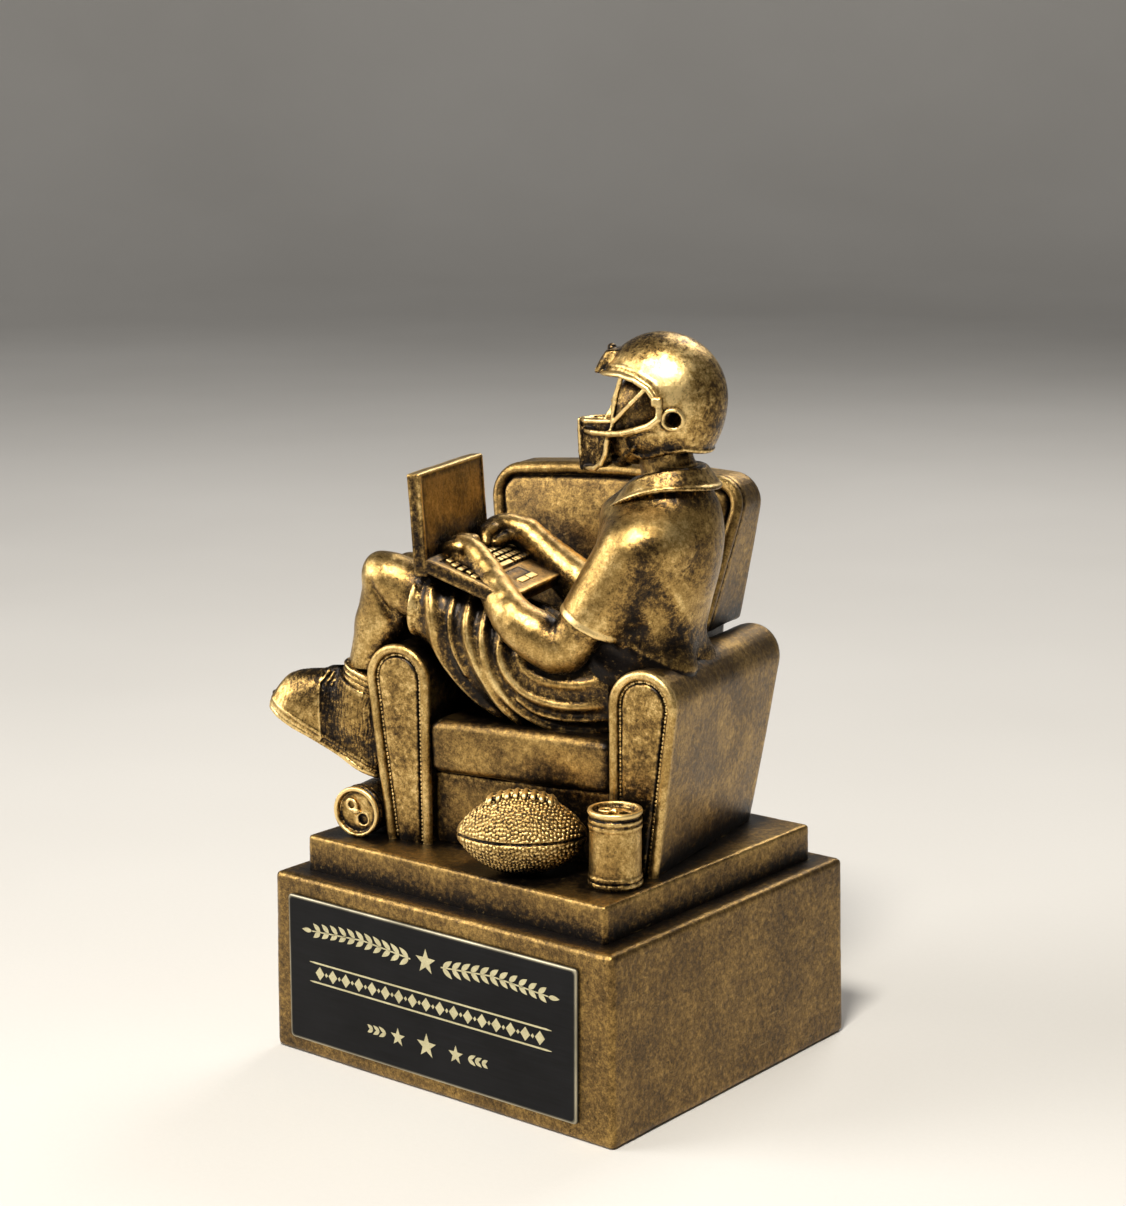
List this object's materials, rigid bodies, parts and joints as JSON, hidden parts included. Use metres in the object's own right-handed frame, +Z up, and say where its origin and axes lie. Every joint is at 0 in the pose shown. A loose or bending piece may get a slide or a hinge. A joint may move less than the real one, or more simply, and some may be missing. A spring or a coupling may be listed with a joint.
{
  "type": "figure trophy",
  "caption": "Antique-gold award: a helmeted football fan with a laptop sits sideways in an armchair on a stepped base with a name plate.",
  "frame": {"origin": "middle of the underside of the base block", "axes": "+Z up, the name plate faces -Y, +X to the right of someone who reads the plate"},
  "size_m": [0.1238, 0.0984, 0.1846],
  "materials": {
    "base_gold": "cast resin painted antique gold",
    "chair_gold": "cast resin painted antique gold",
    "figure_gold": "cast resin painted antique gold",
    "laptop_gold": "cast resin painted antique gold",
    "prop_gold": "cast resin painted antique gold",
    "black_plate": "satin black anodised with a bright engraved ornament",
    "tape": "double-sided adhesive",
    "felt": "black felt"
  },
  "bodies": {
    "root": {"base_block": "base_gold", "base_felt_pad": "felt", "base_step": "base_gold", "chair_back": "chair_gold", "chair_back_cushion": "chair_gold", "chair_back_piping": "chair_gold", "chair_left_arm": "chair_gold", "chair_left_arm_panel": "chair_gold", "chair_left_arm_piping": "chair_gold", "chair_right_arm": "chair_gold", "chair_right_arm_panel": "chair_gold", "chair_right_arm_piping": "chair_gold", "chair_seat_cushion": "chair_gold", "chair_seat_rail": "chair_gold", "football": "prop_gold", "football_laces": "prop_gold", "head": "figure_gold", "helmet_chin_strap": "figure_gold", "helmet_face_mask": "figure_gold", "helmet_shell": "figure_gold", "laptop_base": "laptop_gold", "laptop_buttons": "laptop_gold", "laptop_keys": "laptop_gold", "laptop_lid": "laptop_gold", "left_forearm": "figure_gold", "left_hand": "figure_gold", "left_leg": "figure_gold", "left_shoe": "figure_gold", "left_shoe_sole": "figure_gold", "left_sock": "figure_gold", "lying_can": "prop_gold", "lying_can_tab": "prop_gold", "name_plate": "black_plate", "name_plate_tape": "tape", "neck": "figure_gold", "right_forearm": "figure_gold", "right_hand": "figure_gold", "right_leg": "figure_gold", "right_shoe": "figure_gold", "right_shoe_sole": "figure_gold", "right_sock": "figure_gold", "shirt_body": "figure_gold", "shirt_collar": "figure_gold", "shirt_left_sleeve": "figure_gold", "shirt_right_sleeve": "figure_gold", "shorts_left_leg": "figure_gold", "shorts_right_leg": "figure_gold", "shorts_seat": "figure_gold", "standing_can": "prop_gold", "standing_can_tab": "prop_gold"}
  },
  "joints": []
}
